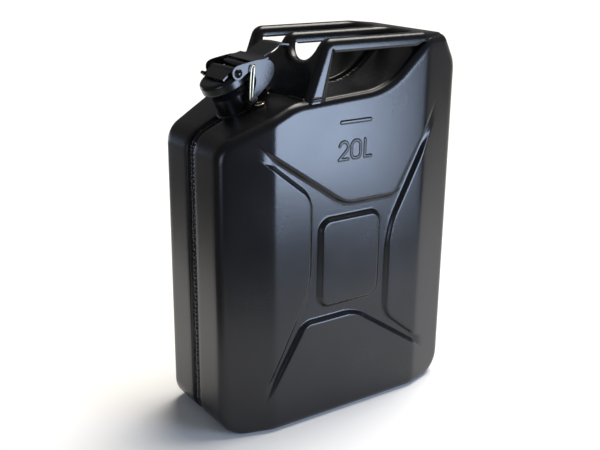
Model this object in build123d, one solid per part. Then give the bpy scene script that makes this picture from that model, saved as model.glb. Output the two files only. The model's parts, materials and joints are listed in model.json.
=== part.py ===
from build123d import *
import os
from math import radians, cos, sin

# A 20 litre pressed-steel jerry can: two welded half shells with a recessed seam, a triple
# handle, and a tilted pouring neck closed by a hinged cam-lever lid.
# Millimetres. +Z up, origin at the centre of the base, X along the length with the neck
# towards -X, Y across the thickness. The left side is -Y.

# ---- driving dimensions -------------------------------------------------------------
LENGTH = 345.0            # along X
THICKNESS = 165.0         # along Y
HEIGHT = 470.0            # top of the handle bars
SHEET = 0.9               # shell sheet

HUMP_TOP = 465.0          # top of the shells, under the rear ends of the bars
SHOULDER_RISE = 0.445     # slope of the shoulder that carries the neck
WAIST_X = -81.0           # where the shoulder turns into the dip under the handle
CREASE_X = 109.3          # vertical crease between the flat face and its end facet
FACET_DROP = 18.9         # how far the facet has fallen back at the narrow face
SEAM_HALF = 7.0           # half the width of the seam channel
SEAM_DEPTH = 9.0          # depth of the seam channel
EDGE_BEVEL = 6.0          # bevel of the outer edges of each half

SHOULDER_ANGLE = 26.5     # tilt of the neck from the vertical
NECK_X, NECK_Z = -110.0, 387.5
NECK_R = 22.0
NECK_BORE_R = 20.0
NECK_HEIGHT = 33.5
NECK_INSIDE = 12.0        # how far the neck reaches into the tank

EMBOSS_DEPTH = 4.8
EMBOSS_RUN = 5.5          # sideways run of the sloping emboss wall
EMBOSS_MID_Z = 204.0      # centre of the embossed cross
ARM_STEEP, ARM_FLAT = 1.65, 0.68  # slopes of the edges of the cross's arms
PAD_SIZE = (81.2, 103.4)          # raised pad in the middle of the cross
MARK_AT = (1.5, 374.5)            # raised bar above the upper panel's middle
MARK_LENGTH, MARK_WIDTH, MARK_RAISE = 47.0, 4.5, 0.8

BAR_R = 9.0
BAR_SHEET = 1.2
BAR_Y = 71.5              # the two outer bars; the third is on the middle
BAR_Z = HEIGHT - BAR_R
BAR_FRONT_X = -38.0
BAR_REAR_X = 118.0
PLATE_TOP = (-42.0, 466.0)        # middle of the inclined front plate's sheet
PLATE_FOOT = (-66.0, 402.0)
PLATE_HALF = 80.0
PLATE_SHEET = 1.8
NOTCH_BOTTOM = 441.0

HINGE_B, HINGE_A = 30.0, 10.0     # lid hinge, in the neck's own plane
PIN_R = 3.0
PIN_BORE_R = 3.06
FRONT_B, FRONT_A = 6.0, 47.0      # lever pivot
REAR_B, REAR_A = 22.0, 44.5       # second pin of the lid
LID_R = 28.5
LID_SHEET = 1.6
LID_LOW, LID_TOP = 31.6, 45.5
LID_FLOOR = 36.2
CHEEK_IN, CHEEK_OUT = 29.0, 31.0  # lever cheeks, either side of the lid
WIRE_R = 1.3
EAR_IN, EAR_OUT = 9.0, 11.5       # hinge clevis ears
LUG_OUT = 33.0                    # outer face of the side lugs
LUG_HOLE_B, LUG_A = 8.5, 4.0
RING_R, RING_WIRE_R = 5.3, 0.8    # split ring in the left lug
WIRE_B, WIRE_A = 27.5, 44.5       # hole for the safety wire in the left cheek
WIRE_GAP = 2.0                    # from the cheek to the middle of the wire

os.makedirs("parts", exist_ok=True)
HALF_Y = THICKNESS / 2
END_X = LENGTH / 2

# neck frame: local X is rearwards (b), local Y is up the neck (a), normal is -Y
NECK_PLANE = Plane(
    origin=(NECK_X, 0, NECK_Z),
    x_dir=(cos(radians(SHOULDER_ANGLE)), 0, sin(radians(SHOULDER_ANGLE))),
    z_dir=(0, -1, 0),
)
NECK_AXIS = Plane(
    origin=(NECK_X, 0, NECK_Z),
    x_dir=(0, 1, 0),
    z_dir=(-sin(radians(SHOULDER_ANGLE)), 0, cos(radians(SHOULDER_ANGLE))),
)


def save(name, shape):
    export_step(shape, "parts/" + name + ".step")


def across(plane, sketch, y_low, y_high):
    """A side-view sketch on a plane whose normal is -Y, given thickness from y_low to y_high."""
    shifted = Plane(origin=plane.origin + Vector(0, y_high, 0), x_dir=plane.x_dir, z_dir=plane.z_dir)
    return extrude(shifted * sketch, y_high - y_low)


def rod(b, a, radius, y_low, y_high):
    """A round bar along Y through a point of the neck's plane."""
    return across(NECK_PLANE, Pos(b, a) * Circle(radius), y_low, y_high)


def ring(outer_r, inner_r, low, high):
    """A ring around the neck's axis between two heights up the neck."""
    flat = Circle(outer_r) - Circle(inner_r)
    return extrude(NECK_AXIS.offset(low) * flat, high - low)


def strip(points, radii, width):
    """A bent sheet seen from the side: a rounded line given a thickness."""
    line = FilletPolyline(*points, radius=radii) if radii else Polyline(*points)
    return trace(line, line_width=width)


# ---- side outline of the can --------------------------------------------------------
def side_outline():
    nose_z = NECK_Z + (-END_X - NECK_X) * SHOULDER_RISE
    waist_z = NECK_Z + (WAIST_X - NECK_X) * SHOULDER_RISE
    corners = [
        ((-END_X, 0), 31.0),
        ((END_X, 0), 31.0),
        ((END_X, HUMP_TOP - 36.0), 34.0),
        ((END_X - 25.0, HUMP_TOP), 17.0),
        ((END_X - 61.0, HUMP_TOP), 16.0),
        ((51.3, HUMP_TOP - 57.3), 84.0),
        ((WAIST_X, waist_z), 60.0),
        ((-END_X, nose_z), 29.0),
    ]
    edges = FilletPolyline(*[c[0] for c in corners], radius=[c[1] for c in corners], close=True)
    return make_face(edges)


OUTLINE = side_outline()


def inset(amount):
    return offset(OUTLINE, -amount) if amount else OUTLINE


# ---- embossed cross on the wide face ------------------------------------------------
def turned(points):
    """The same points turned half a turn about the middle of the cross."""
    return [(-x, 2 * EMBOSS_MID_Z - z) for x, z in points]


def cross_polygon():
    reach, side = 150.0, 61.5
    top = [
        (-reach, 278 + ARM_FLAT * (reach - 8)),
        (-8, 278),
        (64, 279),
        (reach, 279 + ARM_STEEP * (reach - 64)),
    ]
    right = [
        (reach, 231 + ARM_STEEP * (reach - side)),
        (side, 231),
        (side, 119),
        (reach, 119 - ARM_FLAT * (reach - side)),
    ]
    return make_face(Polyline(*(top + right + turned(top) + turned(right)), close=True))


def tapered(face, low_grow, high_grow, y_low, y_high):
    """A solid between the face grown by one amount at y_low and by another at y_high."""
    low = Plane(origin=(0, y_low, 0), x_dir=(1, 0, 0), z_dir=(0, -1, 0)) * offset(
        face, low_grow, kind=Kind.INTERSECTION
    )
    high = Plane(origin=(0, y_high, 0), x_dir=(1, 0, 0), z_dir=(0, -1, 0)) * offset(
        face, high_grow, kind=Kind.INTERSECTION
    )
    return loft([low, high], ruled=True)


def emboss_cutter():
    floor_y = -(HALF_Y - EMBOSS_DEPTH)
    above_y = -(HALF_Y + 1.0)
    rise = EMBOSS_RUN / EMBOSS_DEPTH
    cross = tapered(cross_polygon(), -EMBOSS_RUN, rise, floor_y, above_y)
    pad = Pos(0, EMBOSS_MID_Z) * Rectangle(*PAD_SIZE)
    return cross - tapered(pad, EMBOSS_RUN, -rise, floor_y, above_y)


# ---- half shells --------------------------------------------------------------------
def facet_wedges(back):
    """The two corners that the end facets take off, moved in by back."""
    fall = FACET_DROP / (END_X - CREASE_X)
    out = 20.0
    base_y = -(HALF_Y - back)
    pieces = []
    for s in (-1, 1):
        outline = Polyline(
            (s * CREASE_X, base_y),
            (s * (END_X + out), base_y + fall * (END_X + out - CREASE_X)),
            (s * (END_X + out), base_y - out),
            (s * CREASE_X, base_y - out),
            close=True,
        )
        pieces.append(extrude(make_face(outline), 2 * HEIGHT, both=True))
    return pieces


def solid_half(back):
    """Half of the can as a solid, on the -Y side, its skin moved in by back."""
    face = inset(back)
    bevel_y = -(HALF_Y - back - EDGE_BEVEL)
    wide = across(Plane.XZ, face, bevel_y, -(SEAM_HALF + back))
    wide += tapered(face, 0, -0.6 * EDGE_BEVEL, bevel_y, bevel_y - EDGE_BEVEL)
    for wedge in facet_wedges(back):
        wide -= wedge
    neck = across(Plane.XZ, inset(SEAM_DEPTH + back), -(SEAM_HALF + back), 0)
    cutter = Pos(0, back, 0) * EMBOSS
    return (wide - cutter) + neck


EMBOSS = emboss_cutter()
NECK_HOLE = extrude(NECK_AXIS.offset(-25) * Circle(NECK_R), 60)
LEFT_SOLID = solid_half(0)
RIGHT_SOLID = mirror(LEFT_SOLID, about=Plane.XZ)


def half_shell():
    return LEFT_SOLID - solid_half(SHEET) - NECK_HOLE + capacity_bar()


def seam_weld():
    bead = across(Plane.XZ, inset(SEAM_DEPTH - 1.8), -2.5, 2.5)
    bead -= across(Plane.XZ, inset(SEAM_DEPTH), -3, 3)
    return bead - NECK_HOLE


def capacity_bar():
    """Raised bar pressed above the middle of the upper panel."""
    mark = Pos(*MARK_AT) * SlotOverall(MARK_LENGTH, MARK_WIDTH)
    return across(Plane.XZ, mark, -(HALF_Y + MARK_RAISE), -HALF_Y)


# ---- handle -------------------------------------------------------------------------
def clear_of_can(shape):
    return shape - LEFT_SOLID - RIGHT_SOLID


def main_piece(shape):
    """The largest solid of a cut shape, without the slivers that the cut leaves beside it."""
    return shape.solids().sort_by(SortBy.VOLUME)[-1]


def bar_cylinder(y, radius):
    return Pos(BAR_FRONT_X, y, BAR_Z) * Rot(0, 90, 0) * Cylinder(
        radius, BAR_REAR_X - BAR_FRONT_X, align=(Align.CENTER, Align.CENTER, Align.MIN)
    )


def handle_bar(y):
    """Rolled sheet bar, hollow, its rear end closed against the hump of the can."""
    bar = clear_of_can(bar_cylinder(y, BAR_R) - bar_cylinder(y, BAR_R - BAR_SHEET))
    return bar - front_plate_blank() - seam_weld()


def front_plate_blank():
    return across(Plane.XZ, strip([PLATE_TOP, PLATE_FOOT], None, PLATE_SHEET), -PLATE_HALF, PLATE_HALF)


def front_plate():
    """Inclined cross plate that carries the front ends of the bars, notched between them."""
    plate = clear_of_can(front_plate_blank())
    gap_half = (BAR_Y - 2 * BAR_R) / 2
    for y in (-BAR_Y / 2, BAR_Y / 2):
        notch = Pos(y, NOTCH_BOTTOM + gap_half) * Circle(gap_half)
        notch += Pos(y, NOTCH_BOTTOM + gap_half + 25) * Rectangle(2 * gap_half, 50)
        plate -= extrude(Plane(origin=(-100, 0, 0), x_dir=(0, 1, 0), z_dir=(1, 0, 0)) * notch, 100)
    return plate


def gusset(side):
    outline = Polyline((-41.0, 459.0), (-34.0, 457.0), (-45.0, 398.0), (-64.0, 398.0), close=True)
    y_outer = side * (PLATE_HALF - 1.0)
    low, high = sorted((y_outer, y_outer - side * PLATE_SHEET))
    web = clear_of_can(across(Plane.XZ, make_face(outline), low, high))
    return web - front_plate_blank() - bar_cylinder(side * BAR_Y, BAR_R)


def rear_plate():
    """Sheet that laps over the rear hump and joins the rear ends of the bars."""
    above = HUMP_TOP + 1.3
    route = [(98.0, 452.5), (113.5, above), (END_X - 25.0, above), (158.0, 452.2)]
    cover = strip(route, [10.0, 14.0], PLATE_SHEET)
    plate = clear_of_can(across(Plane.XZ, cover, -PLATE_HALF, PLATE_HALF))
    for y in (-BAR_Y, 0, BAR_Y):
        plate -= bar_cylinder(y, BAR_R)
    return main_piece(plate)


def foot_welds():
    """Two short beads at the outer feet of the front plate."""
    beads = []
    for s in (-1, 1):
        blank = Pos(-67.5, s * 60, 405.5) * Box(6, 34, 6)
        beads.append(main_piece(clear_of_can(blank) - front_plate_blank()))
    return beads


# ---- neck ---------------------------------------------------------------------------
def neck_tube():
    tube = ring(NECK_R, NECK_BORE_R, -NECK_INSIDE, NECK_HEIGHT)
    return tube + ring(24.0, NECK_BORE_R, NECK_HEIGHT - 2.5, NECK_HEIGHT)


def neck_weld():
    bead = ring(24.3, NECK_R, -6.0, 2.0)
    return clear_of_can(bead)


def breather_tube():
    """Air pipe inside the tank, from below the neck to the air space under the hump."""
    path = FilletPolyline((-98, 0, 372), (-60, 0, 384), (60, 0, 390), (112, 0, 440), radius=30)
    section = Plane(origin=path @ 0, z_dir=path % 0) * (Circle(5) - Circle(4))
    return sweep(section, path=path)


def hinge_bracket():
    """Clevis behind the neck: a foot on the shoulder and two ears that hold the hinge pin."""
    ear = make_face(Polyline((24.6, 0.4), (24.6, 12), (27, 16), (33, 16), (36.5, 11), (40, 0.4), close=True))
    ear -= Pos(HINGE_B, HINGE_A) * Circle(PIN_R)
    foot = Pos(34.3, 1.6) * Rectangle(19.4, 2.4)
    bracket = across(NECK_PLANE, foot, -16, 16)
    for s in (-1, 1):
        low, high = sorted((s * EAR_IN, s * EAR_OUT))
        bracket += across(NECK_PLANE, ear, low, high)
    return clear_of_can(bracket)


def hinge_pin():
    return riveted_pin(HINGE_B, HINGE_A, EAR_OUT, 4.6, 1.4)


def neck_lug(side):
    """Lug welded to the side of the neck, below the lever's foot, with a drilled outer plate."""
    low, high = sorted((side * 18.0, side * LUG_OUT))
    block = across(NECK_PLANE, Pos(4, LUG_A) * Rectangle(6, 7), low, high)
    low, high = sorted((side * (LUG_OUT - 2.5), side * LUG_OUT))
    plate = Pos(6, LUG_A) * Rectangle(10, 7) - Pos(LUG_HOLE_B, LUG_A) * Circle(1.6)
    lug = block + across(NECK_PLANE, plate, low, high)
    return lug - extrude(NECK_AXIS.offset(-25) * Circle(24.5), 60)


def split_ring():
    """Wire ring through the hole of the left lug, its far side resting on the shoulder."""
    droop = radians(14)
    centre = (LUG_HOLE_B + RING_R * cos(droop), LUG_A - RING_R * sin(droop))
    origin = NECK_PLANE.from_local_coords(Vector(centre[0], centre[1], LUG_OUT - 1.25))
    normal = NECK_PLANE.x_dir * sin(droop) + NECK_AXIS.z_dir * cos(droop)
    return Plane(origin=origin, x_dir=(0, 1, 0), z_dir=normal) * Torus(RING_R, RING_WIRE_R)


# ---- lid ----------------------------------------------------------------------------
def lid_cup():
    """Pressed cap: skirt and turned rim outside, sunk floor in the middle."""
    cup = ring(LID_R, LID_R - LID_SHEET, LID_LOW, LID_TOP)
    cup += ring(LID_R, LID_R - 3.4, LID_TOP - 1.4, LID_TOP)
    cup += extrude(NECK_AXIS.offset(LID_FLOOR) * Circle(LID_R - 1.0), 1.8)
    cup -= rod(FRONT_B, FRONT_A, 5.3, -40, 40)
    cup -= rod(REAR_B, REAR_A, 5.4, -40, 40)
    cup -= across(NECK_PLANE, Pos(30, 41.9) * Rectangle(20, 7.8), -9.5, 9.5)
    return cup - lid_rivet()


def lid_gasket():
    """Flat rubber ring under the sunk floor that seats on the neck's lip."""
    return ring(26.6, 18.5, NECK_HEIGHT + 0.3, LID_FLOOR)


def hinge_arm():
    """Strap riveted to the lid floor that runs back over the rim and down to the hinge pin."""
    half = EAR_IN - 0.5
    line = [(-9, 39.0), (34.6, 39.0), (34.6, 12.5)]
    arm = across(NECK_PLANE, strip(line, [4.0], 1.9), -half, half)
    arm += rod(HINGE_B, HINGE_A, 5.6, -half, half)
    arm -= rod(HINGE_B, HINGE_A, PIN_BORE_R, -30, 30)
    return arm - lid_rivet()


def clamp_plate():
    """Plate curled round the front pin that slopes down over the front of the lid."""
    slope = strip([(5.0, 50.9), (-11.0, 46.6)], None, 2.0)
    plate = across(NECK_PLANE, slope, -23.5, 23.5)
    plate += rod(FRONT_B, FRONT_A, 5.0, -25.5, 25.5)
    plate += rod(-8.5, 48.0, 2.2, 21.0, CHEEK_IN - 0.5)
    return plate - rod(FRONT_B, FRONT_A, PIN_R, -30, 30)


def riveted_pin(b, a, reach, head_r, head_t):
    pin = rod(b, a, PIN_R, -reach, reach)
    for s in (-1, 1):
        low, high = sorted((s * reach, s * (reach + head_t)))
        pin += rod(b, a, head_r, low, high)
    return pin


def rear_spacer():
    return rod(REAR_B, REAR_A, 4.5, -24.0, 24.0) - rod(REAR_B, REAR_A, PIN_R, -30, 30)


def lid_rivet():
    """Rivet that holds the strap down on the sunk floor."""
    shank = extrude(NECK_AXIS.offset(LID_FLOOR) * Circle(2.5), 5.0)
    return shank + extrude(NECK_AXIS.offset(LID_FLOOR + 4.25) * Circle(4.5), 1.0)


# ---- lever --------------------------------------------------------------------------
def cheek_face():
    outline = Spline(
        (-1.5, 47), (2.5, 54.0), (18, 52.6), (39, 45.5), (50, 36), (49, 27), (33, 15.5), (13, 9.5)
    ) + Polyline((13, 9.5), (9.5, 14.5)) + Spline(
        (9.5, 14.5), (18, 22), (23.5, 32), (21.5, 40), (13, 41), (4, 39.8), (-1.5, 47)
    )
    face = make_face(outline)
    face -= Pos(FRONT_B, FRONT_A) * Circle(PIN_BORE_R)
    return face


def cam_lever():
    """One pressing: two cheeks joined by a top web that ends in the thumb tab."""
    route = [(29, 47.6), (46, 42.0), (74, 43.6), (84.5, 37.0)]
    web = across(NECK_PLANE, strip(route, [30.0, 9.0], 2.0), -CHEEK_OUT, CHEEK_OUT)
    narrow = Pos(66, 0) * Rectangle(60, 40) + Rectangle(96, 2 * CHEEK_OUT)
    top = Plane(
        origin=NECK_PLANE.from_local_coords(Vector(0, 20, 0)),
        x_dir=NECK_PLANE.x_dir,
        z_dir=NECK_AXIS.z_dir,
    )
    lever = web & extrude(top * narrow, 60)
    for s in (-1, 1):
        low, high = sorted((s * CHEEK_IN, s * CHEEK_OUT))
        lever += across(NECK_PLANE, cheek_face(), low, high)
        low, high = sorted((s * CHEEK_IN, s * 35.0))
        lever += across(NECK_PLANE, Pos(9.0, 12.0) * Rectangle(8.5, 6.5), low, high)
    return lever


def safety_pin():
    """Bent wire: a short leg through the left cheek, a long leg down past the bracket tab."""
    top = NECK_PLANE.from_local_coords(Vector(WIRE_B, WIRE_A, 0))
    leg_y = -(CHEEK_OUT + WIRE_GAP)
    low_z = NECK_PLANE.from_local_coords(Vector(9.0, 9.5, 0)).Z
    path = FilletPolyline(
        (top.X, -(CHEEK_IN - 2.5), top.Z), (top.X, leg_y, top.Z), (top.X, leg_y, low_z), radius=1.9
    )
    section = Plane(origin=path @ 0, z_dir=path % 0) * Circle(WIRE_R)
    return sweep(section, path=path)


def lever_with_pin_seat():
    """The lever with the hole for the wire's short leg and the open slot its long leg rests in."""
    lever = cam_lever()
    top = NECK_PLANE.from_local_coords(Vector(WIRE_B, WIRE_A, 0))
    lever -= rod(WIRE_B, WIRE_A, WIRE_R + 0.06, -CHEEK_OUT - 1, -CHEEK_IN + 1)
    slot = Pos(top.X - 10 + WIRE_R + 0.3, -(CHEEK_OUT + WIRE_GAP), 400) * Box(20, 2 * WIRE_R + 0.8, 40)
    return lever - slot


# ---- write every piece --------------------------------------------------------------
left_shell = half_shell()
save("left_shell", left_shell)
save("right_shell", mirror(left_shell, about=Plane.XZ))
save("seam_weld", seam_weld())
save("handle_bar_left", handle_bar(-BAR_Y))
save("handle_bar_middle", handle_bar(0))
save("handle_bar_right", handle_bar(BAR_Y))
save("handle_front_plate", front_plate())
save("handle_rear_plate", rear_plate())
save("handle_gusset_left", gusset(-1))
save("handle_gusset_right", gusset(1))
save("handle_foot_welds", Compound(foot_welds()))
save("neck_tube", neck_tube())
save("neck_weld", neck_weld())
save("breather_tube", breather_tube())
save("hinge_bracket", hinge_bracket())
save("hinge_pin", hinge_pin())
save("neck_lug_left", neck_lug(-1))
save("neck_lug_right", neck_lug(1))
save("split_ring", split_ring())
save("lid_cup", lid_cup())
save("lid_gasket", lid_gasket())
save("lid_rivet", lid_rivet())
save("hinge_arm", hinge_arm())
save("clamp_plate", clamp_plate())
save("front_pin", riveted_pin(FRONT_B, FRONT_A, CHEEK_OUT + 0.2, 5.5, 2.6))
save("rear_pin", riveted_pin(REAR_B, REAR_A, 24.0, 4.6, 1.6))
save("rear_spacer", rear_spacer())
save("cam_lever", lever_with_pin_seat())
save("safety_pin", safety_pin())
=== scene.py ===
import json
import math

import bmesh
import bpy
import numpy as np
from mathutils import Matrix, Vector
from mathutils.geometry import delaunay_2d_cdt


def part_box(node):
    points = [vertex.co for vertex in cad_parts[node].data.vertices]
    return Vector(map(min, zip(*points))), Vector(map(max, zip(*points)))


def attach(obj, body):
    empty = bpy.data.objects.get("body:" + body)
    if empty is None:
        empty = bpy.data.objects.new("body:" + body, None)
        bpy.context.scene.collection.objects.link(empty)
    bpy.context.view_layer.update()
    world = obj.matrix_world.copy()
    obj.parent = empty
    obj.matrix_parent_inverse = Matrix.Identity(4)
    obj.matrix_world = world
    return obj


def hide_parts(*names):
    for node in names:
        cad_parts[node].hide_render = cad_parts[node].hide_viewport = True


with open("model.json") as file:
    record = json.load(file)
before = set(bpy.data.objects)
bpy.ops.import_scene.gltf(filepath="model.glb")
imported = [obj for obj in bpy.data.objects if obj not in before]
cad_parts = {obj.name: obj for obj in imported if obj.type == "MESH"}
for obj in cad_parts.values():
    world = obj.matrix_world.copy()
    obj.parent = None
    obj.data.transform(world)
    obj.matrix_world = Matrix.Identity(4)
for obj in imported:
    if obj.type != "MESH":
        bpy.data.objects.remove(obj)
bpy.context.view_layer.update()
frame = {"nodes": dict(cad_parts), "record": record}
MM = 0.001

# ---- sizes in millimetres: first those worked out from the frame --------------------
SHELL_LOW, SHELL_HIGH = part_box("left_shell")
END_X = SHELL_HIGH.x / MM
TOP_Z = SHELL_HIGH.z / MM
MARK_RAISE = 0.8
HALF_Y = -SHELL_LOW.y / MM - MARK_RAISE
BAR_LOW, BAR_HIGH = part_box("handle_bar_left")
BAR_R = (BAR_HIGH.z - BAR_LOW.z) / MM / 2
BAR_Y = -(BAR_LOW.y + BAR_HIGH.y) / MM / 2
BAR_TOP = BAR_HIGH.z / MM
MOUTH = [m for m in frame["record"]["mounts"] if m["name"] == "neck_bore"][0]
NECK_AXIS = Vector(MOUTH["axis"])
NECK_MOUTH = Vector(MOUTH["pos_m"])
NECK_BORE = MOUTH["dims"]["r_mm"]
NECK_LIP = 33.5
NECK_BASE = NECK_MOUTH - NECK_AXIS * (NECK_LIP * MM)

# outline of the can, seen from the side
FOOT_R = 31.0
HUMP_CUT_X, HUMP_CUT_Z, HUMP_LENGTH = 25.0, 36.0, 61.0
DIP_X, DIP_DEPTH = 49.5, 55.5
KINK_X, KINK_RAISE = -81.0, 1.5
SHOULDER_SLOPE = 0.445

# pressed halves: seam channel, edges, end facets, cross, capacity mark
SEAM_HALF, SEAM_DEPTH = 8.3, 9.0
SEAM_LIP_R = 2.6
BEAD_HALF, BEAD_HEIGHT, BEAD_PITCH = 4.8, 7.4, 5.2
EDGE_R = 10.0
CREASE_X, CREASE_SOFT = 109.3, 1.6
FACET_SLOPE = 0.3
CROSS_DEPTH, CROSS_RUN = 4.8, 6.2
CROSS_SOFT = 0.8
CROSS_FADE_FROM, CROSS_FADE_RUN = 102.0, 33.0
CROSS_Z = 204.0
PAD_HALF_W, PAD_HALF_H, PAD_R = 40.6, 51.7, 11.0
UPPER_PANEL_Z, UPPER_PANEL_R = 278.5, 5.0
UPPER_LEFT, UPPER_RIGHT = (-8.0, 278.0), (64.0, 279.0)
ARM_FLAT, ARM_STEEP = 0.68, 1.65
SIDE_TOP, SIDE_LOW, SIDE_PANEL_R = (-61.5, 289.0), (-61.5, 177.0), 8.0
SIDE_FLAT, SIDE_STEEP = 0.80, 1.92
MARK_LOW, MARK_HIGH, MARK_BAR_Z = 330.5, 351.5, 374.5
SHELL_SHEET, HANDLE_SHEET = 0.9, 1.5

# neck and lid, heights measured up the neck from its base
NECK_WALL = 2.0
LID_OUTER, LID_SHEET, LID_SHOULDER = 28.5, 1.6, 4.5
LID_LOW, LID_HIGH = 31.6, 44.6


# ---- small mesh helpers -------------------------------------------------------------
def add_mesh(name, verts, faces, material, body, replaces=()):
    """A piece from points in millimetres, riding on a body and standing for CAD nodes."""
    mesh = bpy.data.meshes.new(name)
    mesh.from_pydata((np.asarray(verts, float) * MM).tolist(), [], faces)
    mesh.validate()
    for polygon in mesh.polygons:
        polygon.use_smooth = True
    mesh.materials.append(material)
    piece = bpy.data.objects.new(name, mesh)
    bpy.context.scene.collection.objects.link(piece)
    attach(piece, body)
    if replaces:
        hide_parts(*replaces)
    return piece


def grid_faces(rows, columns, wrap=True):
    """Quads between rows of points; the columns close on themselves when wrap is true."""
    faces = []
    last = columns if wrap else columns - 1
    for i in range(rows - 1):
        for j in range(last):
            k = (j + 1) % columns
            this, above = i * columns, (i + 1) * columns
            faces.append((this + j, this + k, above + k, above + j))
    return faces


def rounded_loop(corners, step, closed=True):
    """Points along a polygon whose corners are arcs: corners are (x, z, radius).
    Gives the points and the unit tangents."""
    points, tangents = [], []
    count = len(corners)
    ends = []
    for i in range(count):
        here = np.array(corners[i][:2], float)
        radius = corners[i][2]
        if not closed and i in (0, count - 1):
            ends.append((here, here, None, 0, 0, 0))
            continue
        before = np.array(corners[i - 1][:2], float)
        after = np.array(corners[(i + 1) % count][:2], float)
        d1 = (here - before) / np.linalg.norm(here - before)
        d2 = (after - here) / np.linalg.norm(after - here)
        turn = math.atan2(d1[0] * d2[1] - d1[1] * d2[0], float(d1 @ d2))
        reach = radius * math.tan(abs(turn) / 2)
        start = here - d1 * reach
        side = math.copysign(1.0, turn)
        centre = start + side * radius * np.array([-d1[1], d1[0]])
        spoke = start - centre
        ends.append((start, here + d2 * reach, centre, radius, turn, math.atan2(spoke[1], spoke[0])))
    for i in range(count):
        start, stop, centre, radius, turn, angle = ends[i]
        if centre is not None:
            pieces = max(3, int(math.ceil(abs(turn) * radius / step)))
            for k in range(pieces + 1):
                a = angle + turn * k / pieces
                points.append(centre + radius * np.array([math.cos(a), math.sin(a)]))
                s = math.copysign(1.0, turn)
                tangents.append(s * np.array([-math.sin(a), math.cos(a)]))
        else:
            points.append(start)
            other = ends[1][0] if i == 0 else ends[-2][1]
            way = (other - start) if i == 0 else (start - other)
            tangents.append(way / np.linalg.norm(way))
        if not closed and i == count - 1:
            break
        following = ends[(i + 1) % count][0]
        length = np.linalg.norm(following - stop)
        pieces = max(1, int(length / step))
        for k in range(1, pieces):
            points.append(stop + (following - stop) * k / pieces)
            tangents.append((following - stop) / length)
    return np.array(points), np.array(tangents)


def nearest(points, loop):
    """Distance from each point to a closed loop of points."""
    a = loop
    b = np.roll(loop, -1, axis=0)
    ab = b - a
    out = np.empty(len(points))
    for start in range(0, len(points), 2000):
        p = points[start : start + 2000, None, :]
        t = np.clip(((p - a) * ab).sum(2) / (ab * ab).sum(1), 0, 1)
        out[start : start + 2000] = np.linalg.norm(p - (a + t[..., None] * ab), axis=2).min(1)
    return out


def inside(points, loop):
    """Whether each point is inside a closed loop."""
    hit = np.zeros(len(points), bool)
    x, y = points[:, 0], points[:, 1]
    for (x0, y0), (x1, y1) in zip(loop, np.roll(loop, -1, axis=0)):
        if y0 != y1:
            hit ^= ((y0 > y) != (y1 > y)) & (x < x0 + (y - y0) / (y1 - y0) * (x1 - x0))
    return hit


def number_points(made, known, base):
    """Numbers for a triangulation's points: those known for its first points, new ones after base.
    Gives the number of each point, and which of the points are new."""
    numbers, new = [], []
    for i, origins in enumerate(made[3]):
        first = [o for o in origins if o < len(known)]
        if first:
            numbers.append(known[first[0]])
        else:
            numbers.append(base + len(new))
            new.append(i)
    return numbers, new


# ---- outline and pressed face of the can --------------------------------------------
def can_corners():
    """Side view of the can: floor, hump behind the handle, dip below it, neck shoulder, front."""
    neck_x, neck_z = NECK_BASE.x / MM, NECK_BASE.z / MM
    return [
        (-END_X, 0, FOOT_R),
        (END_X, 0, FOOT_R),
        (END_X, TOP_Z - HUMP_CUT_Z, 34.0),
        (END_X - HUMP_CUT_X, TOP_Z, 17.0),
        (END_X - HUMP_LENGTH, TOP_Z, 16.0),
        (DIP_X, TOP_Z - DIP_DEPTH, 84.0),
        (KINK_X, neck_z + KINK_RAISE + (KINK_X - neck_x) * SHOULDER_SLOPE, 60.0),
        (-END_X, neck_z + (-END_X - neck_x) * SHOULDER_SLOPE, 29.0),
    ]


def panel(distances, rounding):
    """Distance inside a panel bounded by straight edges, with its corners rounded."""
    short = [np.maximum(rounding - d, 0) for d in distances]
    beyond = np.maximum(np.minimum.reduce(distances) - rounding, 0)
    return rounding - np.sqrt(sum(s * s for s in short)) + beyond


def edge(x, z, corner, slope, up):
    """Signed distance above (up = 1) or below (up = -1) a sloping line through a corner."""
    return up * ((z - corner[1]) - slope * (x - corner[0])) / math.hypot(1, slope)


def panels_inside(x, z):
    """How far a point is inside the nearest standing panel; negative in the recessed cross."""
    best = None
    for turned in (False, True):
        u = -x if turned else x
        v = 2 * CROSS_Z - z if turned else z
        flat_arm = edge(u, v, UPPER_LEFT, -ARM_FLAT, 1)
        steep_arm = edge(u, v, UPPER_RIGHT, ARM_STEEP, 1)
        upper = panel([v - UPPER_PANEL_Z, flat_arm, steep_arm], UPPER_PANEL_R)
        side_top = edge(u, v, SIDE_TOP, -SIDE_FLAT, -1)
        side_low = edge(u, v, SIDE_LOW, SIDE_STEEP, 1)
        side = panel([SIDE_TOP[0] - u, side_top, side_low], SIDE_PANEL_R)
        both = np.maximum(upper, side)
        best = both if best is None else np.maximum(best, both)
    across = [PAD_HALF_W - x, PAD_HALF_W + x]
    upright = [PAD_HALF_H - (z - CROSS_Z), PAD_HALF_H + (z - CROSS_Z)]
    return np.maximum(best, panel(across + upright, PAD_R))


def smooth_step(t):
    """0 below 0, 1 above 1, and a smooth rise between."""
    t = np.clip(t, 0, 1)
    return t * t * (3 - 2 * t)


def stroke(x, z, x0, z0, x1, z1):
    """Distance to a straight stroke."""
    ax, az = x1 - x0, z1 - z0
    t = np.clip(((x - x0) * ax + (z - z0) * az) / (ax * ax + az * az), 0, 1)
    return np.hypot(x - x0 - t * ax, z - z0 - t * az)


def bowl(x, z, cx, cz, half_w, half_h, corner):
    """Distance to the line of a rounded rectangle."""
    qx = np.abs(x - cx) - (half_w - corner)
    qz = np.abs(z - cz) - (half_h - corner)
    outside = np.hypot(np.maximum(qx, 0), np.maximum(qz, 0))
    return np.abs(outside + np.minimum(np.maximum(qx, qz), 0) - corner)


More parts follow.
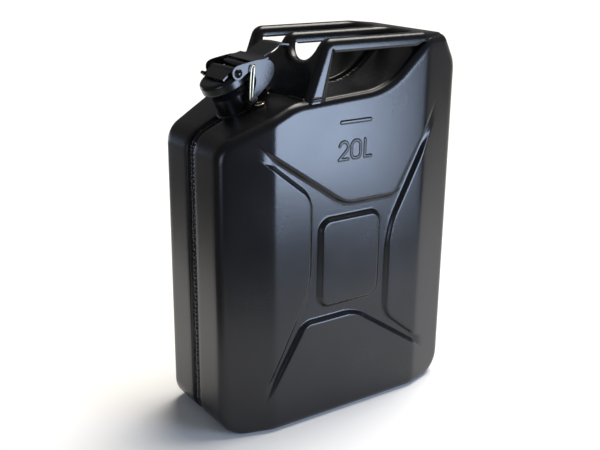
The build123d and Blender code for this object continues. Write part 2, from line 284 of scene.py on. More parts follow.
def arc_line(x, z, cx, cz, radius, start, stop):
    """Distance to an arc from one angle to another, in degrees from the x axis."""
    middle, half = math.radians((start + stop) / 2), math.radians((stop - start) / 2)
    turn = np.angle(np.exp(1j * (np.arctan2(z - cz, x - cx) - middle)))
    on_arc = np.abs(np.hypot(x - cx, z - cz) - radius)
    tips = [math.radians(start), math.radians(stop)]
    to_tips = [np.hypot(x - cx - radius * math.cos(t), z - cz - radius * math.sin(t)) for t in tips]
    return np.where(np.abs(turn) <= half, on_arc, np.minimum(*to_tips))


def marks(x, z):
    """Raised capacity mark, plain strokes, and the bar above it."""
    low, high = MARK_LOW, MARK_HIGH
    mid = (low + high) / 2
    two = np.minimum.reduce([
        arc_line(x, z, -15.5, high - 6.2, 6.2, -38, 165),
        stroke(x, z, -10.6, high - 10.0, -22, low),
        stroke(x, z, -22, low, -9, low),
    ])
    zero = bowl(x, z, 2.5, mid, 6.6, (high - low) / 2, 6.0)
    ell = np.minimum(stroke(x, z, 15.5, high, 15.5, low), stroke(x, z, 15.5, low, 25, low))
    strokes = 1 - smooth_step((np.minimum.reduce([two, zero, ell]) - 0.95) / 0.9)
    bar = 1 - smooth_step(stroke(x, z, -19.5, MARK_BAR_Z, 22.5, MARK_BAR_Z) - 1.3)
    return MARK_RAISE * np.maximum(strokes, bar)


def face_height(x, z, reading):
    """Distance of the pressed skin from the middle plane, before the edges are rounded.
    reading is 1 where the marks run along +X and -1 on the other side of the can."""
    u = np.abs(x) - CREASE_X
    facet = FACET_SLOPE * (u / 2 + np.sqrt(u * u / 4 + CREASE_SOFT**2))
    over = CROSS_DEPTH - facet
    gap = over / 2 + np.sqrt(over * over / 4 + CROSS_SOFT)
    run = 0.5 + CROSS_RUN * gap / CROSS_DEPTH
    fade = 1 - smooth_step((np.abs(x) - CROSS_FADE_FROM) / CROSS_FADE_RUN)
    recess = gap * fade * smooth_step(-panels_inside(x, z) / run)
    return HALF_Y - facet - recess + marks(x * reading, z)


def face_points(loop, reading):
    """Points for the inside of the wide face: dense on the emboss walls and marks."""
    step = 0.625
    xs = np.arange(-END_X + EDGE_R, END_X - EDGE_R, step)
    zs = np.arange(EDGE_R, TOP_Z - EDGE_R, step)
    gx, gz = np.meshgrid(xs, zs, indexing="ij")
    ix, iz = np.meshgrid(np.arange(len(xs)), np.arange(len(zs)), indexing="ij")
    x, z, ix, iz = gx.ravel(), gz.ravel(), ix.ravel(), iz.ravel()
    depth = -panels_inside(x, z)
    even = (ix % 2 == 0) & (iz % 2 == 0)
    wall = even & (depth > -2.0) & (depth < CROSS_RUN + 2.0) & (np.abs(x) < CREASE_X + 20)
    heights = ((z > MARK_LOW - 3.5) & (z < MARK_HIGH + 3.5)) | (np.abs(z - MARK_BAR_Z) < 3.5)
    text = (x * reading > -26) & (x * reading < 29) & heights
    coarse = (ix % 8 == 0) & (iz % 8 == 0)
    crease = (np.abs(np.abs(x) - CREASE_X) < 7) & (ix % 2 == 0) & (iz % 8 == 0)
    keep = wall | text | coarse | crease
    points = np.stack([x[keep], z[keep]], 1)
    points = points[inside(points, loop)]
    return points[nearest(points, loop) > 1.4]


def pressed_half(reading):
    """Skin of a half, as if on the -Y side: face, rounded edge, side wall, seam lip and channel."""
    loop, tangents = rounded_loop(can_corners(), 3.0)
    inward = np.stack([-tangents[:, 1], tangents[:, 0]], 1)
    count = len(loop)
    rows = []
    for depth, height in ((SEAM_DEPTH, 0.0), (SEAM_DEPTH, 3.0), (SEAM_DEPTH - 0.4, 4.6), (7.4, 5.8)):
        rows.append((loop + inward * depth, np.full(count, height)))
    lip = SEAM_LIP_R
    for k in range(6):
        a = math.radians(90 * k / 5)
        height = np.full(count, SEAM_HALF + lip * (1 - math.cos(a)))
        rows.append((loop + inward * lip * (1 - math.sin(a)), height))
    edge_base = face_height(loop[:, 0], loop[:, 1], reading) - EDGE_R
    for k in range(1, 7):
        t = k / 7
        rows.append((loop, (SEAM_HALF + lip) * (1 - t) + edge_base * t))
    for k in range(0, 9):
        a = math.radians(90 * k / 8)
        ring = loop + inward * EDGE_R * (1 - math.cos(a))
        rows.append((ring, face_height(ring[:, 0], ring[:, 1], reading) - EDGE_R * (1 - math.sin(a))))
    verts = [np.stack([r[:, 0], -h, r[:, 1]], 1) for r, h in rows]
    faces = grid_faces(len(rows), count)
    ring = rows[-1][0]
    free = face_points(ring, reading)
    flat = [Vector(p) for p in ring.tolist()] + [Vector(p) for p in free.tolist()]
    made = delaunay_2d_cdt(flat, [], [list(range(count))], 1, 1e-5)
    base = sum(len(v) for v in verts)
    numbers, new = number_points(made, range(base - count, base), base)
    x, z = np.array([list(v) for v in made[0]])[new].T
    verts.append(np.stack([x, -face_height(x, z, reading), z], 1))
    faces += [tuple(numbers[v] for v in t) for t in made[2]]
    return np.concatenate(verts), faces


def without_neck(verts, faces):
    """Leaves out the faces inside the neck, where the tank is open to the spout."""
    base = np.array(NECK_BASE) / MM
    axis = np.array(NECK_AXIS)
    rel = verts - base
    along = rel @ axis
    away = np.linalg.norm(rel - along[:, None] * axis, axis=1)
    hidden = (away < NECK_BORE + 0.6) & (np.abs(along) < 25)
    return [f for f in faces if not all(hidden[v] for v in f)]


def build_shells(paint):
    """The two pressed halves, open at the neck."""
    for name, side in (("left_shell", 1), ("right_shell", -1)):
        verts, faces = pressed_half(side)
        faces = without_neck(verts, faces)
        points = verts * np.array([1, side, 1])
        turned = faces if side > 0 else [tuple(reversed(f)) for f in faces]
        piece = add_mesh("pressed_" + name, points, turned, paint, "can", (name,))
        fix_normals(piece)
        thicken(piece, SHELL_SHEET)


def fix_normals(piece):
    """Points every face outwards and drops points that no face uses."""
    mesh = bmesh.new()
    mesh.from_mesh(piece.data)
    loose = [v for v in mesh.verts if not v.link_faces]
    bmesh.ops.delete(mesh, geom=loose, context="VERTS")
    bmesh.ops.remove_doubles(mesh, verts=mesh.verts, dist=1e-6)
    bmesh.ops.recalc_face_normals(mesh, faces=mesh.faces)
    mesh.to_mesh(piece.data)
    mesh.free()


def thicken(piece, thickness):
    """Gives a skin the thickness of its sheet, inwards."""
    sheet = piece.modifiers.new("sheet", "SOLIDIFY")
    sheet.thickness = thickness * MM
    sheet.offset = -1


def build_seam(paint):
    """Ripply weld bead that stands up in the middle of the seam channel."""
    loop, tangents = rounded_loop(can_corners(), 1.0)
    inward = np.stack([-tangents[:, 1], tangents[:, 0]], 1)
    count = len(loop)
    run = np.concatenate([[0], np.cumsum(np.linalg.norm(np.diff(loop, axis=0), axis=1))])
    wave = 0.75 * np.abs(np.sin(run * math.pi / BEAD_PITCH))
    wave = wave + 0.3 * np.sin(run * 0.11) + 0.25 * np.sin(run * 0.53)
    verts = []
    arc = 13
    for k in range(arc):
        a = math.pi * k / (arc - 1)
        lift = (BEAD_HEIGHT + wave) * math.sin(a) - 0.3
        point = loop + inward * (SEAM_DEPTH - lift)[:, None]
        verts.append(np.stack([point[:, 0], np.full(count, -BEAD_HALF * math.cos(a)), point[:, 1]], 1))
    points = np.concatenate(verts)
    faces = without_neck(points, grid_faces(arc, count))
    piece = add_mesh("seam_bead", points, faces, paint, "can", ("seam_weld",))
    fix_normals(piece)


# ---- handle: one pressed sheet with rolled edges ------------------------------------
ROLL_R = BAR_R - 0.9
PLATE_FOOT = (-66.0, 402.0)
PLATE_LEAN = math.atan2(64.0, 24.0)
PLATE_SUNK = 14.0
NOTCH_Z = 445.0
SLOT_END_X, SLOT_END_R = 101.0, 17.0
BAR_END_X = 104.0
REAR_CORNER_R = 22.0


def handle_path():
    """Side view of the sheet from inside the tank up the front, along the bars, over the hump."""
    foot_x = PLATE_FOOT[0] - PLATE_SUNK * math.cos(PLATE_LEAN)
    foot_z = PLATE_FOOT[1] - PLATE_SUNK * math.sin(PLATE_LEAN)
    rise = (BAR_TOP - PLATE_FOOT[1]) / math.tan(PLATE_LEAN)
    corners = [
        (foot_x, foot_z, 0),
        (PLATE_FOOT[0] + rise, BAR_TOP, 15.0),
        (BAR_END_X, BAR_TOP - 0.3, 60.0),
        (END_X - 29.5, TOP_Z + 1.2, 10.0),
        (END_X - 13.0, TOP_Z - 25.0, 0),
    ]
    points, tangents = rounded_loop(corners, 1.5, closed=False)
    run = np.concatenate([[0], np.cumsum(np.linalg.norm(np.diff(points, axis=0), axis=1))])
    return points, tangents, run


def border_loop(length, half_width):
    """The flat sheet's border, from its foot at 0 to its rounded rear corners."""
    corners = [
        (0, -half_width, 1.0), (length, -half_width, REAR_CORNER_R),
        (length, half_width, REAR_CORNER_R), (0, half_width, 1.0),
    ]
    return rounded_loop(corners, 2.2)


def slot_loops(start, stop):
    """The two slots between the bars in the flat sheet, running against the border."""
    half = (BAR_Y - 2 * BAR_R) / 2
    loops = []
    for side in (-1, 1):
        low, high = side * BAR_Y / 2 - half, side * BAR_Y / 2 + half
        corners = [
            (start, low, half - 2.5), (stop, low, SLOT_END_R),
            (stop, high, SLOT_END_R), (start, high, half - 2.5),
        ]
        points, tangents = rounded_loop(corners, 1.8)
        loops.append((points[::-1], -tangents[::-1]))
    return loops


def build_handle(paint):
    """One sheet up the front, along the three bars and down over the hump, with two slots."""
    points, tangents, run = handle_path()
    normals = np.stack([-tangents[:, 1], tangents[:, 0]], 1)
    total = run[-1]
    outer_y = BAR_Y + BAR_R

    def place(s, y, drop):
        px, pz = np.interp(s, run, points[:, 0]), np.interp(s, run, points[:, 1])
        nx, nz = np.interp(s, run, normals[:, 0]), np.interp(s, run, normals[:, 1])
        size = np.hypot(nx, nz)
        past_crease = np.maximum(px - CREASE_X + 4, 0)
        y = y * (1 - 1.08 * FACET_SLOPE * past_crease / outer_y)
        return np.stack([px - drop * nx / size, y, pz - drop * nz / size], 1)

    notch_start = (NOTCH_Z - PLATE_FOOT[1]) / math.sin(PLATE_LEAN) + PLATE_SUNK
    corner_run = (BAR_TOP - PLATE_FOOT[1]) / math.sin(PLATE_LEAN) + PLATE_SUNK
    gap_end = float(np.interp(SLOT_END_X, points[:, 0], run))
    loops = [border_loop(total, outer_y)] + slot_loops(notch_start, gap_end)
    verts, faces, rings = [], [], []
    flange_rows = (1.0, 0.5, 0.0)
    for number, (loop, tangent) in enumerate(loops):
        inward = np.stack([-tangent[:, 1], tangent[:, 0]], 1)
        if number == 0:
            front = np.clip(1 - loop[:, 0] / corner_run, 0, 1)
            along_bar = smooth_step((loop[:, 0] - corner_run) / 9.0)
            off_bar = smooth_step((loop[:, 0] - gap_end + 12) / 14.0)
            extra = 2.5 + 17.0 * front + 4.5 * along_bar * (1 - off_bar)
        else:
            extra = 1.0 + 4.0 * smooth_step((loop[:, 0] - corner_run + 8) / 14.0)
        start = sum(len(v) for v in verts)
        rows = []
        for share in flange_rows:
            rows.append(place(loop[:, 0], loop[:, 1], ROLL_R + extra * share))
        for k in range(1, 8):
            a = math.radians(90 * k / 7)
            ring = loop + inward * ROLL_R * (1 - math.cos(a))
            rows.append(place(ring[:, 0], ring[:, 1], np.full(len(loop), ROLL_R * (1 - math.sin(a)))))
        verts.append(np.concatenate(rows))
        faces += [tuple(start + v for v in f) for f in grid_faces(len(rows), len(loop))]
        rings.append((ring, start + (len(rows) - 1) * len(loop)))
    flat, index_of, loops_index = [], [], []
    for ring, first in rings:
        loops_index.append(list(range(len(flat), len(flat) + len(ring))))
        flat += ring.tolist()
        index_of += [first + i for i in range(len(ring))]
    along, across = np.meshgrid(np.arange(4, total - 4, 4.0), np.arange(-76, 77, 4.0), indexing="ij")
    grid = np.stack([along, across], 2).reshape(-1, 2)
    border, left_slot, right_slot = [ring for ring, _ in rings]

    def on_sheet(spots):
        return inside(spots, border) & ~inside(spots, left_slot) & ~inside(spots, right_slot)

    grid = grid[on_sheet(grid)]
    for ring, _ in rings:
        grid = grid[nearest(grid, ring) > 1.5]
    flat += grid.tolist()
    edges = [(a, b) for loop in loops_index for a, b in zip(loop, loop[1:] + loop[:1])]
    made = delaunay_2d_cdt([Vector(p) for p in flat], edges, [], 0, 1e-5)
    flat_out = np.array([list(v) for v in made[0]])
    numbers, new = number_points(made, index_of, sum(len(v) for v in verts))
    pts = flat_out[new]
    verts.append(place(pts[:, 0], pts[:, 1], np.zeros(len(pts))))
    centres = np.array([flat_out[list(t)].mean(0) for t in made[2]])
    kept = [t for t, ok in zip(made[2], on_sheet(centres)) if ok]
    faces += [tuple(numbers[v] for v in t) for t in kept]
    nodes = ["handle_bar_left", "handle_bar_middle", "handle_bar_right", "handle_front_plate"]
    nodes += ["handle_rear_plate", "handle_gusset_left", "handle_gusset_right"]
    piece = add_mesh("handle_sheet", np.concatenate(verts), faces, paint, "can", nodes)
    fix_normals(piece)
    top = max(piece.data.polygons, key=lambda p: p.center.z)
    if top.normal.z < 0:
        piece.data.flip_normals()
    thicken(piece, HANDLE_SHEET)


def build_bead(name, route, radius, paint, replaces=()):
    """Short weld bead: a lumpy tube along a route of points in millimetres."""
    route = np.array(route, float)
    run = np.concatenate([[0], np.cumsum(np.linalg.norm(np.diff(route, axis=0), axis=1))])
    along = np.arange(0, run[-1] + 0.01, 0.7)
    points = np.stack([np.interp(along, run, route[:, k]) for k in range(3)], 1)
    tangent = np.gradient(points, axis=0)
    tangent /= np.linalg.norm(tangent, axis=1)[:, None]
    side = np.cross(tangent, np.array([0.2, 0.1, 1.0]))
    side /= np.linalg.norm(side, axis=1)[:, None]
    up = np.cross(side, tangent)
    taper = np.sqrt(np.clip(np.minimum(along, run[-1] - along) / radius, 0.02, 1))
    size = radius * taper * (1 + 0.16 * np.abs(np.sin(along * math.pi / 2.6)) + 0.05 * np.sin(along * 0.9))
    verts = []
    around = 14
    for k in range(around):
        a = 2 * math.pi * k / around
        verts.append(points + (side * math.cos(a) + up * math.sin(a)) * size[:, None])
    count = len(points)
    faces = []
    for k in range(around):
        m = (k + 1) % around
        this, above = k * count, m * count
        faces += [(this + i, this + i + 1, above + i + 1, above + i) for i in range(count - 1)]
    faces.append(tuple(k * count for k in range(around)))
    faces.append(tuple(k * count + count - 1 for k in reversed(range(around))))
    piece = add_mesh(name, np.concatenate(verts), faces, paint, "can", replaces)
    fix_normals(piece)


def build_foot_beads(paint):
    """Beads beside the gussets' feet and across the front plate's foot, on both sides."""
    foot_y = BAR_Y + BAR_R - 0.5
    back, front = PLATE_FOOT[0] + 20.0, PLATE_FOOT[0] + 4.0
    low = PLATE_FOOT[1] + 1.5
    left = [(front, -foot_y, low), (back, -foot_y, low + 1.0)]
    right = [(front, foot_y, low), (back, foot_y, low + 1.0)]
    build_bead("foot_bead_left", left, 2.6, paint, ("handle_foot_welds",))
    build_bead("foot_bead_right", right, 2.6, paint)
    for side, name in ((-1, "left"), (1, "right")):
        x, z = PLATE_FOOT[0] - 1.0, PLATE_FOOT[1] + 1.0
        build_bead("plate_bead_" + name, [(x, side * 44.0, z), (x, side * 76.0, z)], 2.0, paint)


# ---- turned pieces on the neck axis -------------------------------------------------
def lathe(name, profile, material, body, replaces, ripple=None, turns=128):
    """A closed profile of (radius, height up the neck) turned about the neck's axis."""
    axis = np.array(NECK_AXIS)
    across = np.array([0.0, 1.0, 0.0])
    other = np.cross(axis, across)
    base = np.array(NECK_BASE) / MM
    verts = []
    for r, a in profile:
        angle = np.arange(turns) * 2 * math.pi / turns
        radius = np.full(turns, float(r))
        if ripple:
            radius = radius + ripple(angle, r, a)
        spokes = np.cos(angle)[:, None] * other + np.sin(angle)[:, None] * across
        verts.append(base + axis * a + radius[:, None] * spokes)
    faces = grid_faces(len(profile), turns)
    last = (len(profile) - 1) * turns
    for j in range(turns):
        k = (j + 1) % turns
        faces.append((last + j, last + k, k, j))
    piece = add_mesh(name, np.concatenate(verts), faces, material, body, replaces)
    fix_normals(piece)


def arc_points(cx, cy, r, start, stop, count):
    """Points of a profile along an arc, from one angle to another in degrees."""
    angles = [math.radians(start + (stop - start) * k / (count - 1)) for k in range(count)]
    return [(cx + r * math.cos(a), cy + r * math.sin(a)) for a in angles]


def build_lid(paint):
    """Pressed cap: rolled lower edge, skirt, rounded shoulder and a slightly dished top."""
    low, high = LID_LOW, LID_HIGH
    outer, sheet, shoulder = LID_OUTER, LID_SHEET, LID_SHOULDER
    profile = [(outer - sheet, low + 1.0)]
    profile += arc_points(outer - 0.8, low + 0.8, 0.8, 180, 360, 7)
    profile += [(outer, low + 3), (outer, high - shoulder - 1)]
    profile += arc_points(outer - shoulder, high - shoulder, shoulder, 0, 90, 9)
    profile += [(18, high - 0.3), (8, high - 0.8), (0.05, high - 1.0)]
    profile += [(0.05, high - 1.0 - sheet), (8, high - 0.8 - sheet), (18, high - sheet)]
    profile += arc_points(outer - shoulder, high - shoulder, shoulder - sheet, 90, 0, 7)
    lathe("lid_cap", profile, paint, "lid", ("lid_cup",))


def build_neck(paint):
    """Neck tube with a rolled lip, and the weld ring at its foot."""
    low = -12.0
    wall = NECK_BORE + NECK_WALL
    profile = [(NECK_BORE, low), (wall, low), (wall, -3), (wall, 8), (wall, 20), (wall, NECK_LIP - 3.4)]
    profile += arc_points(wall + 0.5, NECK_LIP - 1.7, 1.6, -90, 90, 9)
    profile += arc_points(NECK_BORE + 1.1, NECK_LIP - 1.1, 1.1, 90, 180, 5)
    profile += [(NECK_BORE, NECK_LIP - 8), (NECK_BORE, 0)]
    lathe("neck", profile, paint, "can", ("neck_tube",))

    def ripple(angle, r, a):
        return (r > wall) * (0.35 * np.abs(np.sin(angle * 22)) + 0.3 * np.sin(angle * 3 + 1))

    bead = [(wall - 0.4, -4.5)] + arc_points(wall - 0.2, -0.4, 3.3, -70, 85, 9) + [(wall - 0.4, 1.5)]
    lathe("neck_bead", bead, paint, "can", ("neck_weld",), ripple, 264)


# ---- CAD pieces that keep their shape and get softened edges ------------------------
def soften(node, material, body, width, segments=3):
    """A copy of a CAD node with its sharp edges rounded, standing for that node."""
    source = frame["nodes"][node]
    mesh = source.data.copy()
    mesh.materials.clear()
    mesh.materials.append(material)
    piece = bpy.data.objects.new("soft_" + node, mesh)
    bpy.context.scene.collection.objects.link(piece)
    work = bmesh.new()
    work.from_mesh(mesh)
    bmesh.ops.remove_doubles(work, verts=work.verts, dist=2e-6)
    bmesh.ops.dissolve_limit(work, angle_limit=math.radians(1.0), verts=work.verts, edges=work.edges)
    for line in work.edges:
        line.smooth = line.is_manifold and line.calc_face_angle() < math.radians(32)
    work.to_mesh(mesh)
    work.free()
    for polygon in mesh.polygons:
        polygon.use_smooth = True
    bevel = piece.modifiers.new("edges", "BEVEL")
    bevel.width = width * MM
    bevel.segments = segments
    bevel.limit_method = "ANGLE"
    bevel.angle_limit = math.radians(35)
    bevel.harden_normals = True
    bevel.use_clamp_overlap = True
    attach(piece, body)
    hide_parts(node)


def headed_pin(node, material, body):
    """A pin along Y with domed heads, as large as the CAD pin that it stands for."""
    low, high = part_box(node)
    low, high = np.array(low) / MM, np.array(high) / MM
    radius = max(high[0] - low[0], high[2] - low[2]) / 2
    dome = min(radius * 0.75, (high[1] - low[1]) / 4)
    middle = (low + high) / 2
    rises = np.linspace(0.2, math.pi / 2, 7)
    profile = [(0.02, low[1])]
    profile += [(radius * math.sin(a), low[1] + dome * (1 - math.cos(a))) for a in rises]
    profile += [(radius * math.sin(a), high[1] - dome * (1 - math.cos(a))) for a in rises[::-1]]
    profile += [(0.02, high[1])]
    turns = 40
    verts = []
    for r, y in profile:
        angle = np.arange(turns) * 2 * math.pi / turns
        ring = [middle[0] + r * np.cos(angle), np.full(turns, y), middle[2] + r * np.sin(angle)]
        verts.append(np.stack(ring, 1))
    faces = grid_faces(len(profile), turns)
    faces.append(tuple(range(turns)))
    faces.append(tuple((len(profile) - 1) * turns + j for j in reversed(range(turns))))
    points = np.concatenate(verts)
    piece = add_mesh("domed_" + node, points, faces, material, body, (node,))
    fix_normals(piece)


def hairpin(material):
    """The safety wire: two legs down the cheek, looped over at the top and hooked below."""
    low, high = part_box("safety_pin")
    low, high = np.array(low) / MM, np.array(high) / MM
    gauge = 0.85
    x = high[0] - 2.2
    y = low[1] + gauge
    top, foot = high[2] - gauge, low[2] + gauge
    lean = 3.2
    through_cheek = [(x, high[1] - gauge, top - 1.2), (x, y + 1.5, top - 1.2), (x + 0.3, y, top - 0.6)]
    near_leg = [(x - 0.3, y, top - 3.0), (x - lean, y, foot + 4.0)]
    hook = [(x - lean - 0.4, y, foot + 0.9), (x - lean - 2.0, y, foot), (x - lean - 3.2, y, foot + 2.0)]
    back_leg = [(x - 4.6, y, top - 6.0), (x - 3.6, y, top - 0.4), (x - 1.6, y, top)]
    route = through_cheek + near_leg + hook + back_leg
    curve = bpy.data.curves.new("safety_wire_loop", "CURVE")
    curve.dimensions = "3D"
    line = curve.splines.new("NURBS")
    line.points.add(len(route) - 1)
    for point, place in zip(line.points, route):
        point.co = (place[0] * MM, place[1] * MM, place[2] * MM, 1)
    line.order_u = 3
    line.use_endpoint_u = True
    line.resolution_u = 10
    curve.bevel_depth = gauge * MM
    curve.bevel_resolution = 5
    curve.use_fill_caps = True
    curve.materials.append(material)
    piece = bpy.data.objects.new("safety_wire_loop", curve)
    bpy.context.scene.collection.objects.link(piece)
    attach(piece, "safety_wire")
    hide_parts("safety_pin")


# ---- materials ----------------------------------------------------------------------
class Nodes:
    """A material's node tree, with short calls to add and join nodes."""

    def __init__(self, name):
        self.material = bpy.data.materials.new(name)
        self.material.use_nodes = True
        self.tree = self.material.node_tree
        self.shader = self.tree.nodes["Principled BSDF"]

    def add(self, kind, **values):
        node = self.tree.nodes.new(kind)
        for key, value in values.items():
            if key in node.inputs.keys():
                node.inputs[key].default_value = value
            else:
                setattr(node, key, value)
        return node

    def join(self, out_node, out_name, in_node, in_name):
        self.tree.links.new(out_node.outputs[out_name], in_node.inputs[in_name])

    def noise(self, scale, detail=2.0, rough=0.5):
        where = self.add("ShaderNodeTexCoord")
        node = self.add("ShaderNodeTexNoise", Scale=scale, Detail=detail, Roughness=rough)
        self.join(where, "Object", node, "Vector")
        return node

    def ramp(self, source, socket, low, high, out_low, out_high):
        node = self.add("ShaderNodeMapRange")
        node.inputs["From Min"].default_value = low
        node.inputs["From Max"].default_value = high
        node.inputs["To Min"].default_value = out_low
        node.inputs["To Max"].default_value = out_high
        self.join(source, socket, node, "Value")
        return node

    def bump(self, source, socket, strength, distance, under=None):
        node = self.add("ShaderNodeBump", Strength=strength, Distance=distance)
        self.join(source, socket, node, "Height")
        if under:
            self.join(under, "Normal", node, "Normal")
        return node


def painted(name, dark, light, rough_low, rough_high, peel):
    """Satin powder coat: faint orange peel, cloudy gloss, fine scuffs, and lighter high edges that are
    partly wear and partly a painted edge highlight.
    """
    m = Nodes(name)
    m.shader.inputs["IOR"].default_value = 1.42
    cloud = m.noise(14.0, 4.0, 0.55)
    fine = m.noise(420.0, 2.0)
    speck = m.noise(1500.0, 1.0)
    scuff_place = m.add("ShaderNodeTexCoord")
    scuff_map = m.add("ShaderNodeMapping")
    scuff_map.inputs["Scale"].default_value = (30.0, 30.0, 900.0)
    scuff_map.inputs["Rotation"].default_value = (0.5, 0.9, 0.4)
    scuff = m.add("ShaderNodeTexNoise", Scale=1.0, Detail=3.0)
    m.join(scuff_place, "Object", scuff_map, "Vector")
    m.join(scuff_map, "Vector", scuff, "Vector")
    scratches = m.ramp(scuff, "Fac", 0.79, 0.86, 0.0, 1.0)
    geometry = m.add("ShaderNodeNewGeometry")
    # Lighter colour on sharp high edges (by pointiness), patchy by the cloud noise: partly edge wear,
    # partly a painted edge highlight.
    worn_and_highlit_edges = m.ramp(geometry, "Pointiness", 0.53, 0.60, 0.0, 1.0)
    wear_and_edge_highlight = m.add("ShaderNodeMath", operation="MULTIPLY")
    patch = m.ramp(cloud, "Fac", 0.45, 0.7, 0.0, 0.5)
    m.join(worn_and_highlit_edges, "Result", wear_and_edge_highlight, 0)
    m.join(patch, "Result", wear_and_edge_highlight, 1)
    colour = m.add("ShaderNodeMix", data_type="RGBA")
    colour.inputs["A"].default_value = (*dark, 1)
    colour.inputs["B"].default_value = (*light, 1)
    tone = m.ramp(cloud, "Fac", 0.35, 0.7, 0.0, 1.0)
    m.join(tone, "Result", colour, "Factor")
    edge_wear_and_highlight_colour = m.add("ShaderNodeMix", data_type="RGBA")
    edge_wear_and_highlight_colour.inputs["B"].default_value = (0.075, 0.072, 0.068, 1)
    m.join(wear_and_edge_highlight, "Value", edge_wear_and_highlight_colour, "Factor")
    m.join(colour, "Result", edge_wear_and_highlight_colour, "A")
    m.join(edge_wear_and_highlight_colour, "Result", m.shader, "Base Color")
    gloss = m.ramp(cloud, "Fac", 0.3, 0.75, rough_low, rough_high)
    rubbed = m.add("ShaderNodeMath", operation="MULTIPLY_ADD")
    rubbed.inputs[1].default_value = 0.05
    m.join(scratches, "Result", rubbed, 0)
    m.join(gloss, "Result", rubbed, 2)
    m.join(rubbed, "Value", m.shader, "Roughness")
    skin = m.bump(fine, "Fac", peel, 0.00025)
    grit = m.bump(speck, "Fac", peel * 0.6, 0.00008, skin)
    cut = m.bump(scratches, "Result", 0.03, 0.00005, grit)
    m.join(cut, "Normal", m.shader, "Normal")
    return m.material


def wire_metal():
    """Zinc-plated wire, faintly yellow, with drawn lines along it."""
    m = Nodes("zinc_wire")
    m.shader.inputs["Metallic"].default_value = 1.0
    tone = m.noise(260.0, 3.0)
    colour = m.add("ShaderNodeMix", data_type="RGBA")
    colour.inputs["A"].default_value = (0.60, 0.52, 0.33, 1)
    colour.inputs["B"].default_value = (0.80, 0.74, 0.58, 1)
    m.join(tone, "Fac", colour, "Factor")
    m.join(colour, "Result", m.shader, "Base Color")
    rough = m.ramp(tone, "Fac", 0.3, 0.7, 0.24, 0.42)
    m.join(rough, "Result", m.shader, "Roughness")
    fine = m.noise(2400.0, 2.0)
    drawn = m.bump(fine, "Fac", 0.15, 0.00005)
    m.join(drawn, "Normal", m.shader, "Normal")
    return m.material


def seal_rubber():
    """Dull black rubber with a faint grain."""
    m = Nodes("seal_rubber")
    tone = m.noise(180.0, 3.0)
    colour = m.add("ShaderNodeMix", data_type="RGBA")
    colour.inputs["A"].default_value = (0.018, 0.018, 0.018, 1)
    colour.inputs["B"].default_value = (0.04, 0.039, 0.037, 1)
    m.join(tone, "Fac", colour, "Factor")
    m.join(colour, "Result", m.shader, "Base Color")
    rough = m.ramp(tone, "Fac", 0.3, 0.7, 0.62, 0.8)
    m.join(rough, "Result", m.shader, "Roughness")
    grain = m.noise(1600.0, 2.0)
    bump = m.bump(grain, "Fac", 0.3, 0.0001)
    m.join(bump, "Normal", m.shader, "Normal")
    return m.material


# ---- studio -------------------------------------------------------------------------
def build_camera():
    """Camera fitted to the photo's view of the can."""
    azimuth = math.radians(-34.44)
    elevation = math.radians(18.42)
    roll = math.radians(0.65)
    flat = math.cos(elevation)
    target = Vector((-0.01924, 0, 0.22768))
    distance = 1.160
    back = Vector((math.sin(azimuth) * flat, -math.cos(azimuth) * flat, math.sin(elevation)))
    right = Vector((math.cos(azimuth), math.sin(azimuth), 0))
    up = back.cross(right)
    level = right
    right = level * math.cos(roll) + up * math.sin(roll)
    up = up * math.cos(roll) - level * math.sin(roll)
    data = bpy.data.cameras.new("camera")
    data.sensor_width = 36.0
    data.lens = 54.9
    camera = bpy.data.objects.new("camera", data)
    camera.matrix_world = Matrix((
        (right.x, up.x, back.x, 0), (right.y, up.y, back.y, 0), (right.z, up.z, back.z, 0), (0, 0, 0, 1),
    ))
    camera.location = target + back * distance
    bpy.context.scene.collection.objects.link(camera)
    bpy.context.scene.camera = camera


def softbox(name, place, aim, size, power, colour):
    """Rectangular area light aimed at a point."""
    data = bpy.data.lights.new(name, "AREA")
    data.shape = "RECTANGLE"
    data.size, data.size_y = size
    data.energy = power
    data.color = colour
    lamp = bpy.data.objects.new(name, data)
    lamp.location = place
    lamp.rotation_euler = (Vector(aim) - Vector(place)).to_track_quat("-Z", "Y").to_euler()
    bpy.context.scene.collection.objects.link(lamp)


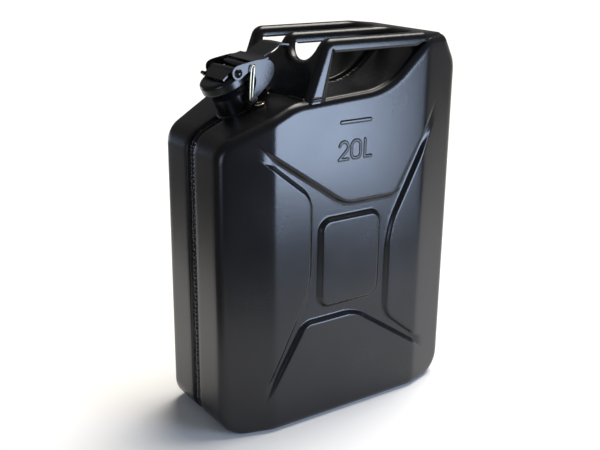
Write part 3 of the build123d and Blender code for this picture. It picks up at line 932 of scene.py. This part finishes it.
def build_studio():
    """Pale floor with painted shade that falls to grey in front and to the left, cool side boxes, warm
    overhead.
    """
    mesh = bpy.data.meshes.new("floor")
    reach, low = 9.0, -0.0005
    corners = [(-reach, -reach, low), (reach, -reach, low), (reach, reach, low), (-reach, reach, low)]
    mesh.from_pydata(corners, [], [(0, 1, 2, 3)])
    floor = bpy.data.objects.new("floor", mesh)
    bpy.context.scene.collection.objects.link(floor)
    m = Nodes("floor_with_painted_shade")
    m.shader.inputs["Roughness"].default_value = 0.9
    m.shader.inputs["Specular IOR Level"].default_value = 0.1
    where = m.add("ShaderNodeTexCoord")
    split = m.add("ShaderNodeSeparateXYZ")
    m.join(where, "Object", split, "Vector")
    # Painted shade: the floor colour falls to dark grey in front and to the left. It stands in for unlit
    # studio floor that the black paint reflects.
    unshaded_left = m.ramp(split, "X", -0.52, -0.38, 0.0, 1.0)
    unshaded_front = m.ramp(split, "Y", -0.52, -0.38, 0.0, 1.0)
    both = m.add("ShaderNodeMath", operation="MULTIPLY")
    m.join(unshaded_left, "Result", both, 0)
    m.join(unshaded_front, "Result", both, 1)
    tone = m.add("ShaderNodeMix", data_type="RGBA")
    tone.inputs["A"].default_value = (0.11, 0.11, 0.11, 1)
    tone.inputs["B"].default_value = (0.92, 0.92, 0.92, 1)
    m.join(both, "Value", tone, "Factor")
    m.join(tone, "Result", m.shader, "Base Color")
    mesh.materials.append(m.material)
    world = bpy.data.worlds.new("studio")
    bpy.context.scene.world = world
    world.use_nodes = True
    world.node_tree.nodes["Background"].inputs["Color"].default_value = (1, 1, 1, 1)
    world.node_tree.nodes["Background"].inputs["Strength"].default_value = 0.13
    cool, warm = (0.60, 0.74, 1.0), (1.0, 0.95, 0.88)
    softbox("front_right_box", (0.46, -1.0, 0.21), (-0.1, -0.08, 0.38), (0.56, 0.42), 14.0, cool)
    softbox("front_left_box", (-1.5, -0.85, 0.25), (-0.15, -0.08, 0.3), (0.5, 0.6), 5.0, cool)
    softbox("rear_box", (-0.55, 1.8, 0.25), (0.05, 0.08, 0.3), (0.5, 0.4), 3.0, cool)
    data = bpy.data.lights.new("overhead", "SUN")
    data.energy = 4.0
    data.angle = math.radians(40)
    data.color = warm
    lamp = bpy.data.objects.new("overhead", data)
    lamp.rotation_euler = Vector((-0.40, -0.1, -0.91)).to_track_quat("-Z", "Y").to_euler()
    bpy.context.scene.collection.objects.link(lamp)
    bpy.context.scene.view_settings.view_transform = "Standard"


# ---- everything ---------------------------------------------------------------------
build_camera()
PAINT = painted("black_paint", (0.004, 0.004, 0.005), (0.007, 0.007, 0.008), 0.235, 0.285, 0.26)
HARDWARE = painted("gloss_hardware", (0.004, 0.004, 0.005), (0.008, 0.008, 0.008), 0.12, 0.18, 0.06)
WIRE = wire_metal()
RUBBER = seal_rubber()

build_shells(PAINT)
build_seam(HARDWARE)
build_handle(PAINT)
build_foot_beads(PAINT)
build_neck(PAINT)
build_lid(PAINT)
for node, body, width in (
    ("hinge_bracket", "can", 0.5), ("neck_lug_left", "can", 0.7), ("neck_lug_right", "can", 0.7),
    ("hinge_arm", "lid", 0.4), ("clamp_plate", "lid", 0.45), ("cam_lever", "lever", 0.55),
):
    soften(node, PAINT, body, width)
soften("lid_rivet", HARDWARE, "lid", 0.7, 4)
soften("rear_spacer", HARDWARE, "lid", 0.4)
for node, body in (("hinge_pin", "can"), ("front_pin", "lid"), ("rear_pin", "lid")):
    headed_pin(node, HARDWARE, body)
hairpin(WIRE)
soften("split_ring", WIRE, "can", 0.1)
soften("lid_gasket", RUBBER, "lid", 0.3)
soften("breather_tube", PAINT, "can", 0.2)
build_studio()
